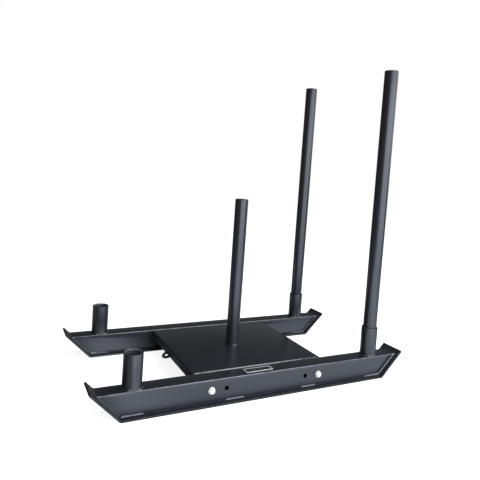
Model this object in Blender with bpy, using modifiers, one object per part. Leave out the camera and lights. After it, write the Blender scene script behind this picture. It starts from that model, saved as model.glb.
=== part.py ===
"""Weight sled: a bolted deck with a weight horn between two runners, and two loose push poles.

Each runner is a box tube on a bent skid plate, with an open sleeve standing at each end. The push
poles stand loose in the rear sleeves and lift out of them.
Metres, +Z up. +X is the front, +Y the sled's left, and the origin is on the floor at the middle.
"""
import math

import bmesh
import bpy
from mathutils import Matrix, Vector

# Fits
SEAT_GAP = 0.0003
POLE_CLEARANCE = 0.00085
BOLT_CLEARANCE = 0.001
WELD_ROOT_GAP = 0.001

# Runners
RUNNER_SPACING = 0.512
SKID_FLAT = 1.0
SKID_WIDTH = 0.096
SKID_THICKNESS = 0.006
SKID_BEND_RADIUS = 0.006
SKID_TIP_HEIGHT = 0.093
SKID_TIP_ANGLE = math.radians(45)
SKID_CORNER_RADIUS = 0.004
TUBE_WIDTH = 0.060
TUBE_HEIGHT = 0.075
TUBE_WALL = 0.003
TUBE_CORNER_RADIUS = 0.005

# Sleeves and push poles
SLEEVE_WALL = 0.0039
SLEEVE_HEIGHT = 0.108
SLEEVE_INSET = 0.040
POLE_DIAMETER = 0.0508
POLE_WALL = 0.0025
POLE_LENGTH = 1.080
RIM_CHAMFER = 0.0006

# Deck and weight horn
DECK_LENGTH = 0.514
# how far the deck's middle stands behind the horn's axis
DECK_SETBACK = 0.0035
DECK_THICKNESS = 0.004
DECK_BEND_RADIUS = 0.008
DECK_LIP = 0.028
HORN_DIAMETER = 0.050
HORN_WALL = 0.003
HORN_LENGTH = 0.563

# Caps of the poles and the horn
CAP_RIM = 0.0015
CAP_DOME = 0.0015
CAP_PLUG_LENGTH = 0.018
CAP_PLUG_WALL = 0.002
CAP_RIB_DEPTH = 0.0008
CAP_RIB_COUNT = 2

# Tow loop: the bar, the half ring's middle line and its droop below level
LOOP_BAR = 0.008
LOOP_RADIUS = 0.019
LOOP_DROOP = math.radians(25)
# the loop stands a little to the right of the middle
LOOP_OFFSET = -0.020

# Bolted joints, M12
BOLT_DIAMETER = 0.012
BOLT_INSET = 0.0495
BOLT_DROP = 0.034
BOLT_EDGE_MARGIN = 0.021
# how far the middle of the four bolts stands ahead of the horn's axis
BOLT_ADVANCE = 0.002
BOLT_TAIL = 0.003
BOLT_POINT_CHAMFER = 0.0015
HEX_ACROSS_FLATS = 0.018
HEX_CHAMFER_CIRCLE = 0.0171
HEX_CHAMFER_ANGLE = math.radians(30)
HEAD_HEIGHT = 0.0075
NUT_HEIGHT = 0.012
NUT_COLLAR_HEIGHT = 0.003
NUT_COLLAR_DIAMETER = 0.0158
NUT_COLLAR_CHAMFER = 0.001
WASHER_DIAMETER = 0.024
WASHER_THICKNESS = 0.0025
SPARE_HOLE_PITCH = 0.054
SPARE_HOLE_DIAMETER = 0.016

# Nameplate
PLATE_LENGTH = 0.103
PLATE_WIDTH = 0.030
PLATE_THICKNESS = 0.001
PLATE_CORNER_RADIUS = 0.003
PLATE_OFFSET = 0.025

# Facets
ROUND_STEPS = 44
SMALL_ROUND_STEPS = 24
ARC_STEPS = 5
DOME_STEPS = 3
SHARP_ANGLE = math.radians(30)
# Points nearer to each other than this are one point
MERGE_DISTANCE = 0.00001

# Heights and places that follow from the sizes above
TUBE_BASE_Z = SKID_THICKNESS + SEAT_GAP
TUBE_TOP_Z = TUBE_BASE_Z + TUBE_HEIGHT
TUBE_MIDDLE_Z = TUBE_BASE_Z + TUBE_HEIGHT / 2
ON_TUBE_Z = TUBE_TOP_Z + SEAT_GAP
DECK_TOP_Z = TUBE_TOP_Z
DECK_WIDTH = RUNNER_SPACING - TUBE_WIDTH - 2 * SEAT_GAP
FLANGE_DEPTH = BOLT_DROP + BOLT_EDGE_MARGIN
BOLT_Z = DECK_TOP_Z - BOLT_DROP
BOLT_HOLE_DIAMETER = BOLT_DIAMETER + 2 * BOLT_CLEARANCE
SLEEVE_BORE = POLE_DIAMETER + 2 * POLE_CLEARANCE
SLEEVE_DIAMETER = SLEEVE_BORE + 2 * SLEEVE_WALL
SLEEVE_X = SKID_FLAT / 2 - SLEEVE_INSET
BOLT_X = DECK_LENGTH / 2 - BOLT_INSET
SPARE_HOLE_X = BOLT_X - SPARE_HOLE_PITCH

SIDES = {"left": 1, "right": -1}
ENDS = {"front": 1, "rear": -1}

# A local XY outline stood up: along X and Z (extruded along Y), or along Y and Z (extruded along X)
UPRIGHT_ALONG_X = (math.pi / 2, 0, 0)
UPRIGHT_ALONG_Y = (math.pi / 2, 0, math.pi / 2)


def clear_scene():
    for old in list(bpy.data.objects):
        bpy.data.objects.remove(old, do_unlink=True)


def make_collection(name):
    group = bpy.data.collections.new(name)
    bpy.context.scene.collection.children.link(group)
    return group


def make_material(name, colour, roughness, metallic):
    material = bpy.data.materials.new(name)
    material.use_nodes = True
    shader = material.node_tree.nodes["Principled BSDF"]
    shader.inputs["Base Color"].default_value = (*colour, 1)
    shader.inputs["Roughness"].default_value = roughness
    shader.inputs["Metallic"].default_value = metallic
    material.diffuse_color = (*colour, 1)
    return material


def link_object(name, data, group, material=None):
    made = bpy.data.objects.new(name, data)
    group.objects.link(made)
    if material and not data.materials:
        data.materials.append(material)
    return made


def place(made, location, rotation=(0, 0, 0)):
    made.location = location
    made.rotation_euler = rotation
    return made


def shade_round(mesh):
    mesh.shade_smooth()
    mesh.set_sharp_from_angle(angle=SHARP_ANGLE)


def bmesh_to_mesh(name, work):
    mesh = bpy.data.meshes.new(name)
    bmesh.ops.recalc_face_normals(work, faces=work.faces)
    work.to_mesh(mesh)
    work.free()
    return mesh


def box(name, size, group):
    """A box centred on its object's origin."""
    work = bmesh.new()
    bmesh.ops.create_cube(work, size=1, matrix=Matrix.Diagonal((*size, 1)))
    return link_object(name, bmesh_to_mesh(name, work), group)


def rod(name, diameter, length, group, sides=SMALL_ROUND_STEPS):
    """A straight prism along Z, centred on its object's origin; its diameter is over the corners."""
    work = bmesh.new()
    bmesh.ops.create_cone(work, cap_ends=True, segments=sides, radius1=diameter / 2,
                          radius2=diameter / 2, depth=length)
    return link_object(name, bmesh_to_mesh(name, work), group)


def curve_to_mesh(curve_object):
    """The curve's evaluated mesh with its caps welded on; the curve object is removed."""
    bpy.context.view_layer.update()
    evaluated = curve_object.evaluated_get(bpy.context.evaluated_depsgraph_get())
    mesh = bpy.data.meshes.new_from_object(evaluated)
    work = bmesh.new()
    work.from_mesh(mesh)
    bmesh.ops.remove_doubles(work, verts=work.verts, dist=MERGE_DISTANCE)
    bmesh.ops.recalc_face_normals(work, faces=work.faces)
    work.to_mesh(mesh)
    work.free()
    bpy.data.objects.remove(curve_object, do_unlink=True)
    return mesh


def apply_modifiers(made):
    """Replaces the object's mesh by the one its modifiers make, shaded as a hard-edged round."""
    bpy.context.view_layer.update()
    evaluated = made.evaluated_get(bpy.context.evaluated_depsgraph_get())
    mesh = bpy.data.meshes.new_from_object(evaluated)
    mesh.name = made.name
    shade_round(mesh)
    made.modifiers.clear()
    made.data = mesh
    return made


def extrude_outline(name, outlines, depth, group, material):
    """A prism along Z on filled XY outlines; an outline inside another is a hole."""
    curve = bpy.data.curves.new(name, "CURVE")
    curve.dimensions = "2D"
    curve.fill_mode = "BOTH"
    curve.extrude = depth / 2
    for outline in outlines:
        spline = curve.splines.new("POLY")
        spline.points.add(len(outline) - 1)
        for point, (x, y) in zip(spline.points, outline):
            point.co = (x, y, 0, 1)
        spline.use_cyclic_u = True
    mesh = curve_to_mesh(link_object(name + "_outline", curve, group))
    mesh.name = name
    shade_round(mesh)
    return link_object(name, mesh, group, material)


def turn(name, profile, group, material, steps=ROUND_STEPS):
    """A turned solid: a profile of (radius, z) points down its outer side, screwed about Z.

    A profile that starts on the axis also ends there; any other is closed into a ring.
    """
    work = bmesh.new()
    points = [work.verts.new((radius, 0, z)) for radius, z in profile]
    on_axis = profile[0][0] == 0
    for first, second in zip(points, points[1:]):
        work.edges.new((first, second))
    if not on_axis:
        work.edges.new((points[-1], points[0]))
    mesh = bpy.data.meshes.new(name)
    work.to_mesh(mesh)
    work.free()
    made = link_object(name, mesh, group, material)
    screw = made.modifiers.new("Turn", "SCREW")
    screw.steps = steps
    screw.render_steps = steps
    screw.use_merge_vertices = True
    screw.merge_threshold = MERGE_DISTANCE
    return apply_modifiers(made)


def combine(made, other, operation, cutters):
    """Adds a live Boolean; the other object becomes a hidden cutter."""
    step = made.modifiers.new(operation.title(), "BOOLEAN")
    step.operation = operation
    step.object = other
    step.solver = "EXACT"
    if other.name not in cutters.objects:
        for holder in list(other.users_collection):
            holder.objects.unlink(other)
        cutters.objects.link(other)
    other.hide_render = True
    other.display_type = "WIRE"


def arc(centre, radius, start, end, steps=ARC_STEPS):
    """Points on a circle from one angle to another, both ends included."""
    angles = [start + (end - start) * step / steps for step in range(steps + 1)]
    return [(centre[0] + radius * math.cos(a), centre[1] + radius * math.sin(a)) for a in angles]


def rounded_rectangle(width, height, radius, centre=(0, 0)):
    outline = []
    for quarter, (sx, sy) in enumerate(((1, 1), (-1, 1), (-1, -1), (1, -1))):
        corner = (centre[0] + sx * (width / 2 - radius), centre[1] + sy * (height / 2 - radius))
        start = quarter * math.pi / 2
        outline += arc(corner, radius, start, start + math.pi / 2)
    return outline


def folded_sheet(face, thickness, inner_radius):
    """The section of a folded sheet, with its folds all to the left of the path.

    face runs along the sheet's outer side. Both sides of a fold are arcs about one centre, so the
    sheet keeps its thickness round the fold.
    """
    outer = [Vector(face[0])]
    inner = []
    outer_radius = inner_radius + thickness
    for before, corner, after in zip(face, face[1:], face[2:]):
        ahead = (Vector(corner) - Vector(before)).normalized()
        onward = (Vector(after) - Vector(corner)).normalized()
        fold = math.atan2(ahead.x * onward.y - ahead.y * onward.x, ahead.dot(onward))
        left = Vector((-ahead.y, ahead.x))
        start = Vector(corner) - ahead * outer_radius * math.tan(fold / 2)
        centre = start + left * outer_radius
        from_angle = math.atan2(-left.y, -left.x)
        outer += [Vector(p) for p in arc(centre, outer_radius, from_angle, from_angle + fold)]
        inner += [Vector(p) for p in arc(centre, inner_radius, from_angle, from_angle + fold)]
    outer.append(Vector(face[-1]))
    first = (Vector(face[1]) - Vector(face[0])).normalized()
    last = (Vector(face[-1]) - Vector(face[-2])).normalized()
    inner.insert(0, Vector(face[0]) + Vector((-first.y, first.x)) * thickness)
    inner.append(Vector(face[-1]) + Vector((-last.y, last.x)) * thickness)
    return [tuple(point) for point in outer + inner[::-1]]


def tube_profile(outer_diameter, bore, base, top):
    """Profile of a straight round tube, its outer rims chamfered."""
    outside = outer_diameter / 2
    inside = bore / 2
    return [(outside - RIM_CHAMFER, top), (outside, top - RIM_CHAMFER), (outside, base + RIM_CHAMFER),
            (outside - RIM_CHAMFER, base), (inside, base), (inside, top)]


def make_skid(name, group, material):
    """Flat bar folded up at both ends, with the two corners of each tip rounded."""
    run = SKID_TIP_HEIGHT / math.tan(SKID_TIP_ANGLE)
    half = SKID_FLAT / 2
    sole = [(-half - run, SKID_TIP_HEIGHT), (-half, 0), (half, 0), (half + run, SKID_TIP_HEIGHT)]
    section = folded_sheet(sole, SKID_THICKNESS, SKID_BEND_RADIUS)
    skid = extrude_outline(name, [section], SKID_WIDTH, group, material)
    work = bmesh.new()
    work.from_mesh(skid.data)
    # the tips' corner edges cross the sheet, one thickness long, at the ends of the section
    reach = half + run - SKID_THICKNESS
    corners = [edge for edge in work.edges
               if all(abs(vert.co.x) > reach for vert in edge.verts)
               and abs(edge.verts[0].co.z - edge.verts[1].co.z) < MERGE_DISTANCE]
    bmesh.ops.bevel(work, geom=corners, offset=SKID_CORNER_RADIUS, segments=ARC_STEPS,
                    profile=0.5, affect="EDGES")
    work.to_mesh(skid.data)
    work.free()
    skid.rotation_euler = UPRIGHT_ALONG_X
    return skid


def make_runner_tube(name, side, group, cutters, material):
    """Box tube with mitred ends, drilled across for the bolts and the two spare holes."""
    outside = rounded_rectangle(TUBE_WIDTH, TUBE_HEIGHT, TUBE_CORNER_RADIUS)
    inside = rounded_rectangle(TUBE_WIDTH - 2 * TUBE_WALL, TUBE_HEIGHT - 2 * TUBE_WALL,
                               TUBE_CORNER_RADIUS - TUBE_WALL)
    stock = SKID_FLAT + 2 * SKID_TIP_HEIGHT / math.tan(SKID_TIP_ANGLE)
    tube = extrude_outline(name, [outside, inside], stock, group, material)
    tube_y = side * RUNNER_SPACING / 2
    place(tube, (0, tube_y, TUBE_MIDDLE_Z), UPRIGHT_ALONG_Y)
    # the line that the tube's end faces keep, parallel to the upturned plate, meets the floor
    # this far inside the fold
    face_inset = (SKID_THICKNESS + WELD_ROOT_GAP) / math.sin(SKID_TIP_ANGLE)
    block = 2 * (TUBE_HEIGHT + SKID_TIP_HEIGHT)
    for end, direction in ENDS.items():
        saw = box(f"{name}_{end}_mitre", (block, 2 * TUBE_WIDTH, block), cutters)
        foot = Vector((direction * (SKID_FLAT / 2 - face_inset), tube_y, 0))
        outward = Vector((direction * math.sin(SKID_TIP_ANGLE), 0, -math.cos(SKID_TIP_ANGLE)))
        lean = direction * (math.pi / 2 - SKID_TIP_ANGLE)
        place(saw, foot + outward * block / 2, (0, lean, 0))
        combine(tube, saw, "DIFFERENCE", cutters)
    for end, direction in ENDS.items():
        for use, hole_x, diameter in (("bolt", BOLT_X, BOLT_HOLE_DIAMETER),
                                      ("spare", SPARE_HOLE_X, SPARE_HOLE_DIAMETER)):
            drill = rod(f"{name}_{end}_{use}_drill", diameter, 2 * TUBE_WIDTH, cutters)
            along = direction * hole_x + BOLT_ADVANCE
            place(drill, (along, tube_y, BOLT_Z), (math.pi / 2, 0, 0))
            combine(tube, drill, "DIFFERENCE", cutters)
    return tube


def make_cap(name, tube_diameter, tube_bore, group, material):
    """Plastic tube plug: a domed head on the rim and a ribbed skirt inside; z = 0 is the rim."""
    head = tube_diameter / 2
    rib = tube_bore / 2 - SEAT_GAP
    skirt = rib - CAP_RIB_DEPTH
    hollow = skirt - CAP_PLUG_WALL
    crown = CAP_RIM + CAP_DOME
    # the dome is a circle through the crown and the rim's edge
    dome_radius = (head ** 2 + CAP_DOME ** 2) / (2 * CAP_DOME)
    reach = math.asin(head / dome_radius)
    profile = []
    for step in range(DOME_STEPS + 1):
        angle = reach * step / DOME_STEPS
        profile.append((dome_radius * math.sin(angle),
                        crown - dome_radius * (1 - math.cos(angle))))
    profile += [(head, 0), (skirt, 0)]
    spacing = CAP_PLUG_LENGTH / CAP_RIB_COUNT
    for index in range(CAP_RIB_COUNT):
        ridge = -spacing * (index + 0.5)
        profile += [(skirt, ridge + CAP_RIB_DEPTH), (rib, ridge), (skirt, ridge - CAP_RIB_DEPTH)]
    profile += [(skirt, -CAP_PLUG_LENGTH), (hollow, -CAP_PLUG_LENGTH), (hollow, 0), (0, 0)]
    return turn(name, profile, group, material)


def make_deck(group, cutters, material):
    """Folded tray: an open shell with rounded folds, its end lips shorter than its side flanges."""
    work = bmesh.new()
    tray = Matrix.Diagonal((DECK_LENGTH, DECK_WIDTH, FLANGE_DEPTH, 1))
    bmesh.ops.create_cube(work, size=1, matrix=tray)
    underside = [face for face in work.faces if face.normal.z < -0.5]
    bmesh.ops.delete(work, geom=underside, context="FACES")
    folds = [edge for edge in work.edges if not edge.is_boundary]
    bmesh.ops.bevel(work, geom=folds, offset=DECK_BEND_RADIUS, segments=ARC_STEPS, profile=0.5,
                    affect="EDGES")
    deck = link_object("deck", bmesh_to_mesh("deck", work), group, material)
    shade_round(deck.data)
    shell = deck.modifiers.new("Sheet", "SOLIDIFY")
    shell.thickness = DECK_THICKNESS
    shell.offset = -1
    shell.use_even_offset = True
    place(deck, (-DECK_SETBACK, 0, DECK_TOP_Z - FLANGE_DEPTH / 2))
    # each end lip is trimmed between the side flanges
    trim_height = FLANGE_DEPTH - DECK_LIP
    trim_width = DECK_WIDTH - 2 * DECK_BEND_RADIUS
    for end, direction in ENDS.items():
        shear = box(f"deck_{end}_trim", (2 * DECK_BEND_RADIUS, trim_width, 2 * trim_height), cutters)
        end_x = direction * DECK_LENGTH / 2 - DECK_SETBACK
        place(shear, (end_x, 0, DECK_TOP_Z - FLANGE_DEPTH))
        combine(deck, shear, "DIFFERENCE", cutters)
        drill = rod(f"deck_{end}_drill", BOLT_HOLE_DIAMETER, 2 * DECK_WIDTH, cutters)
        place(drill, (direction * BOLT_X + BOLT_ADVANCE, 0, BOLT_Z), (math.pi / 2, 0, 0))
        combine(deck, drill, "DIFFERENCE", cutters)
    return deck


def make_tow_loop(group, cutters, material):
    """Half ring of round bar, drooping from the front lip and cut flush with its face."""
    lip_x = DECK_LENGTH / 2 - DECK_SETBACK
    curve = bpy.data.curves.new("tow_loop", "CURVE")
    curve.dimensions = "3D"
    curve.bevel_depth = LOOP_BAR / 2
    curve.bevel_resolution = 3
    curve.use_fill_caps = True
    # the legs start behind the lip's face, where the flush cut removes them
    route = [(-LOOP_BAR, -LOOP_RADIUS)]
    route += arc((0, 0), LOOP_RADIUS, -math.pi / 2, math.pi / 2, 3 * ARC_STEPS)
    route += [(-LOOP_BAR, LOOP_RADIUS)]
    spline = curve.splines.new("POLY")
    spline.points.add(len(route) - 1)
    for point, (ahead, across) in zip(spline.points, route):
        point.co = (ahead * math.cos(LOOP_DROOP), across, -ahead * math.sin(LOOP_DROOP), 1)
    bar = link_object("tow_loop_route", curve, group)
    mesh = curve_to_mesh(bar)
    shade_round(mesh)
    loop = link_object("tow_loop", mesh, group, material)
    loop_z = DECK_TOP_Z - DECK_LIP + LOOP_BAR / 2
    place(loop, (lip_x + SEAT_GAP, LOOP_OFFSET, loop_z))
    block = 4 * LOOP_RADIUS
    flush = box("tow_loop_flush", (block, block, block), cutters)
    place(flush, (lip_x + SEAT_GAP - block / 2, LOOP_OFFSET, loop_z))
    combine(loop, flush, "DIFFERENCE", cutters)
    return loop


def mill_hexagon(name, profile, group, cutters, material):
    """A turned blank whose widest part is milled to a hexagon."""
    blank = turn(name, profile, group, material, steps=SMALL_ROUND_STEPS)
    over_corners = HEX_ACROSS_FLATS / math.cos(math.pi / 6)
    heights = [z for _, z in profile]
    mill = rod(name + "_mill", over_corners, 4 * (max(heights) - min(heights)), cutters, sides=6)
    combine(blank, mill, "INTERSECT", cutters)
    return blank


def hexagon_side(top):
    """Profile of a hexagon's crown: its chamfer circle, then the cone down to past the corners."""
    rim = HEX_CHAMFER_CIRCLE / 2
    blank_radius = HEX_ACROSS_FLATS
    drop = (blank_radius - rim) * math.tan(HEX_CHAMFER_ANGLE)
    return [(rim, top), (blank_radius, top - drop)]


def bolt_stations():
    """The grip faces along Y, from the runner's outer face inwards to the nut's inner end."""
    outer_face = RUNNER_SPACING / 2 + TUBE_WIDTH / 2
    inner_face = DECK_WIDTH / 2 - DECK_THICKNESS
    head_seat = outer_face + WASHER_THICKNESS + 2 * SEAT_GAP
    nut_seat = inner_face - WASHER_THICKNESS - 2 * SEAT_GAP
    return {"head": head_seat, "washer": outer_face + SEAT_GAP,
            "nut": nut_seat, "nut_washer": inner_face - SEAT_GAP}


def make_bolt(group, cutters, material):
    """Hexagon bolt along Z: the seat of its head is at z = 0 and its shank points down."""
    seats = bolt_stations()
    tip = seats["nut"] - seats["head"] - NUT_HEIGHT - BOLT_TAIL
    shank = BOLT_DIAMETER / 2
    profile = [(0, HEAD_HEIGHT), *hexagon_side(HEAD_HEIGHT), (HEX_ACROSS_FLATS, 0), (shank, 0),
               (shank, tip + BOLT_POINT_CHAMFER), (shank - BOLT_POINT_CHAMFER, tip), (0, tip)]
    return mill_hexagon("bolt_pattern", profile, group, cutters, material)


def make_nut(group, cutters, material):
    """Self-locking nut along Z on z = 0: a hexagon with a round collar, bored through."""
    hexagon = NUT_HEIGHT - NUT_COLLAR_HEIGHT
    collar = NUT_COLLAR_DIAMETER / 2
    bore = BOLT_DIAMETER / 2 + SEAT_GAP
    profile = [(collar - NUT_COLLAR_CHAMFER, NUT_HEIGHT), (collar, NUT_HEIGHT - NUT_COLLAR_CHAMFER),
               (collar, hexagon), *hexagon_side(hexagon), (HEX_ACROSS_FLATS, 0), (bore, 0),
               (bore, NUT_HEIGHT)]
    return mill_hexagon("nut_pattern", profile, group, cutters, material)


def make_washer(group, material):
    outside = WASHER_DIAMETER / 2
    inside = (BOLT_DIAMETER + BOLT_CLEARANCE) / 2
    profile = [(outside, WASHER_THICKNESS), (outside, 0), (inside, 0), (inside, WASHER_THICKNESS)]
    return turn("washer_pattern", profile, group, material, steps=SMALL_ROUND_STEPS)


def make_fasteners(group, cutters, material):
    """Four bolted joints: bolt, two washers and nut, each an object on its pattern's mesh."""
    patterns = {"bolt": make_bolt(group, cutters, material),
                "nut": make_nut(group, cutters, material),
                "washer": make_washer(group, material)}
    meshes = {}
    for kind, pattern in patterns.items():
        meshes[kind] = apply_modifiers(pattern).data
        bpy.data.objects.remove(pattern, do_unlink=True)
    seats = bolt_stations()
    pieces = (("bolt", "bolt", "head", 1), ("bolt_washer", "washer", "washer", 1),
              ("nut", "nut", "nut", -1), ("nut_washer", "washer", "nut_washer", -1))
    for side_name, side in SIDES.items():
        for end, direction in ENDS.items():
            for piece, kind, seat, facing in pieces:
                made = link_object(f"{side_name}_{end}_{piece}", meshes[kind], group)
                place(made, (direction * BOLT_X + BOLT_ADVANCE, side * seats[seat], BOLT_Z),
                      (-side * facing * math.pi / 2, 0, 0))


def make_nameplate(group, material):
    outline = rounded_rectangle(PLATE_LENGTH, PLATE_WIDTH, PLATE_CORNER_RADIUS)
    plate = extrude_outline("nameplate", [outline], PLATE_THICKNESS, group, material)
    return place(plate, (PLATE_OFFSET, RUNNER_SPACING / 2, ON_TUBE_Z + PLATE_THICKNESS / 2))


def make_runner(side_name, side, group, cutters, material):
    skid = make_skid(f"{side_name}_skid_plate", group, material)
    skid.location = (0, side * RUNNER_SPACING / 2, 0)
    make_runner_tube(f"{side_name}_runner_tube", side, group, cutters, material)
    wall = tube_profile(SLEEVE_DIAMETER, SLEEVE_BORE, 0, SLEEVE_HEIGHT)
    for end, direction in ENDS.items():
        sleeve = turn(f"{side_name}_{end}_sleeve", wall, group, material)
        place(sleeve, (direction * SLEEVE_X, side * RUNNER_SPACING / 2, ON_TUBE_Z))


def make_push_pole(side_name, side, group, paint, plastic):
    """Pole and cap under one empty on the sleeve's axis, at the pole's foot."""
    lift = link_object(f"{side_name}_pole_lift", None, group)
    place(lift, (-SLEEVE_X, side * RUNNER_SPACING / 2, ON_TUBE_Z))
    bore = POLE_DIAMETER - 2 * POLE_WALL
    pole = turn(f"{side_name}_push_pole", tube_profile(POLE_DIAMETER, bore, 0, POLE_LENGTH), group, paint)
    cap = make_cap(f"{side_name}_pole_cap", POLE_DIAMETER, bore, group, plastic)
    cap.location = (0, 0, POLE_LENGTH + SEAT_GAP)
    for piece in (pole, cap):
        piece.parent = lift


def make_weight_horn(group, paint, plastic):
    bore = HORN_DIAMETER - 2 * HORN_WALL
    horn = turn("weight_horn", tube_profile(HORN_DIAMETER, bore, 0, HORN_LENGTH), group, paint)
    foot = DECK_TOP_Z + SEAT_GAP
    place(horn, (0, 0, foot))
    cap = make_cap("horn_cap", HORN_DIAMETER, bore, group, plastic)
    place(cap, (0, 0, foot + HORN_LENGTH + SEAT_GAP))


def main():
    clear_scene()
    group = make_collection("weight_sled")
    cutters = make_collection("cutters")
    paint = make_material("black_powder_coat", (0.022, 0.023, 0.027), 0.42, 0)
    plastic = make_material("black_plastic", (0.012, 0.012, 0.013), 0.5, 0)
    zinc = make_material("zinc_plate", (0.72, 0.74, 0.76), 0.3, 1)
    silver = make_material("silver_nameplate", (0.62, 0.63, 0.65), 0.3, 1)
    for side_name, side in SIDES.items():
        make_runner(side_name, side, group, cutters, paint)
        make_push_pole(side_name, side, group, paint, plastic)
    make_deck(group, cutters, paint)
    make_weight_horn(group, paint, plastic)
    make_tow_loop(group, cutters, paint)
    make_fasteners(group, cutters, zinc)
    make_nameplate(group, silver)


main()
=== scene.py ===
"""Weight sled in a plain studio: finished surfaces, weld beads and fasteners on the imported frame.

Every piece is worked out in the frame's own metres: +X is the front, +Y the left, +Z up.
"""
import math

import bmesh
import bpy
import numpy as np
from mathutils import Matrix, Vector


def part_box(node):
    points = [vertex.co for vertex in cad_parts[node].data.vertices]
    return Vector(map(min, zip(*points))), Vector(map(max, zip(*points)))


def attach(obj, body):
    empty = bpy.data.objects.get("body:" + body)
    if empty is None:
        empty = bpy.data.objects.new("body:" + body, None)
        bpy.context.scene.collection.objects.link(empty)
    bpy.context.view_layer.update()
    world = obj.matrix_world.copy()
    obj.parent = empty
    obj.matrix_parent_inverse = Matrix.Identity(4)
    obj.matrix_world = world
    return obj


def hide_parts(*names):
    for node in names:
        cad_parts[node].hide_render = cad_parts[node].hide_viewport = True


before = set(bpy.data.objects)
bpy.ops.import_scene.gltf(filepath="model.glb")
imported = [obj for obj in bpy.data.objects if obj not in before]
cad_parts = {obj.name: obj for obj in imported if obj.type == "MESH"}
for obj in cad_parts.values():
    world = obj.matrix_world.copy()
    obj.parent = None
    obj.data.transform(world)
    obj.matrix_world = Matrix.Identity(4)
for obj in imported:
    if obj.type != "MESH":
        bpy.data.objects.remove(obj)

bl_info = {
    "name": "Weight Sled",
    "version": (1, 0, 0),
    "blender": (4, 5, 0),
    "location": "3D View > Sidebar > Sled",
    "description": "Dresses the packed weight sled and sets it in a studio",
    "category": "Object",
}

SIDES = {"left": 1, "right": -1}
ENDS = {"front": 1, "rear": -1}
# the sled's four corners, each with the sign of its side and of its end
CORNERS = {f"{side}_{end}": (SIDES[side], ENDS[end]) for side in SIDES for end in ENDS}
BODY = "sled"
POLE_BODY = {"left": "left_pole", "right": "right_pole"}
UP = (0, 0, 1)

# Points nearer than this are one point
MERGE = 1e-6
# Edges that turn more than this stay sharp in the shading
SHARP = math.radians(32)

# M12 hexagons: across the flats, the shank's radius and the thread's depth
FLATS = 0.018
SHANK = 0.006
THREAD_DEPTH = 0.0009

# Skid plates: their thickness, and how far from the middle their undersides fold up
SKID_THICK = 0.006
FOLD_X = 0.5


def linear(code):
    """Linear RGB of an sRGB hex colour: the inverse of the display curve, channel by channel."""
    channels = np.array([int(code[i:i + 2], 16) for i in (0, 2, 4)]) / 255
    low = channels / 12.92
    high = ((channels + 0.055) / 1.055) ** 2.4
    return tuple(float(c) for c in np.where(channels <= 0.04045, low, high))


def size_of(node):
    """Centre and size of a node's box as two arrays."""
    low, high = (np.array(corner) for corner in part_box(node))
    return (low + high) / 2, high - low


# Sizes that the frame itself carries
TUBE_CENTRE, TUBE_SIZE = size_of("left_runner_tube")
RUNNER_Y = float(TUBE_CENTRE[1])
TUBE_HALF = float(TUBE_SIZE[1]) / 2
TUBE_BASE_Z = float(TUBE_CENTRE[2] - TUBE_SIZE[2] / 2)
TUBE_TOP_Z = float(TUBE_CENTRE[2] + TUBE_SIZE[2] / 2)


# ---- settings ----

def number(name, value, words, least=0, **how):
    return bpy.props.FloatProperty(name=name, description=words, default=value, min=least, **how)


def length(name, value, words):
    return number(name, value, words, unit="LENGTH", precision=5)


def colour(name, code, words):
    return bpy.props.FloatVectorProperty(name=name, description=words, default=linear(code),
                                         min=0, max=1, subtype="COLOR", size=3)


class SledSizes(bpy.types.PropertyGroup):
    """Sizes of the finished pieces that the frame leaves plain."""

    edge_round: length("Edge rounding", 0.0006, "Radius that the coating leaves on cut edges")
    tube_corner: length("Tube corner", 0.005, "Outer corner radius of the frame's box tube")
    tube_edge: length("Tube edge", 0.0022, "Corner radius of the finished box tube")
    sleeve_wall: length("Sleeve wall", 0.0039, "Wall of the upright sleeves")
    pole_wall: length("Pole wall", 0.0025, "Wall of the push poles")
    horn_wall: length("Horn wall", 0.003, "Wall of the weight horn")
    cap_rim: length("Cap rim", 0.0005, "Height of a cap's straight rim below its dome")
    cap_rib: length("Cap rib", 0.0008, "Depth of the gripping ribs on a cap's skirt")
    loop_bar: length("Loop bar", 0.0098, "Bar diameter of the tow loop")
    fillet_leg: length("Fillet leg", 0.005, "Leg of the weld round a sleeve")
    horn_leg: length("Horn leg", 0.0015, "Leg of the weld round the weight horn")
    seam_leg: length("Seam leg", 0.0074, "Leg of the weld along a runner's mitred end")
    stitch_height: length("Stitch height", 0.0068, "Height of a stitch weld on the runner's side")
    stitch_reach: length("Stitch reach", 0.003, "Reach of a stitch weld over the skid plate")
    swell_height: length("Swell height", 0.0045, "Extra height of a stitch at the tube's corner")
    swell_run: length("Swell run", 0.011, "Distance in which that extra height falls to a third")
    ripple_pitch: length("Ripple pitch", 0.0035, "Distance from one weld ripple to the next")
    ripple_depth: length("Ripple depth", 0.0005, "Depth of the weld ripples")
    thread_pitch: length("Thread pitch", 0.00175, "Pitch of the M12 bolts")
    plate_rim: length("Plate rim", 0.0028, "Width of the nameplate's bright rim")
    plate_recess: length("Plate recess", 0.0003, "Depth of the nameplate's dark field")


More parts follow.
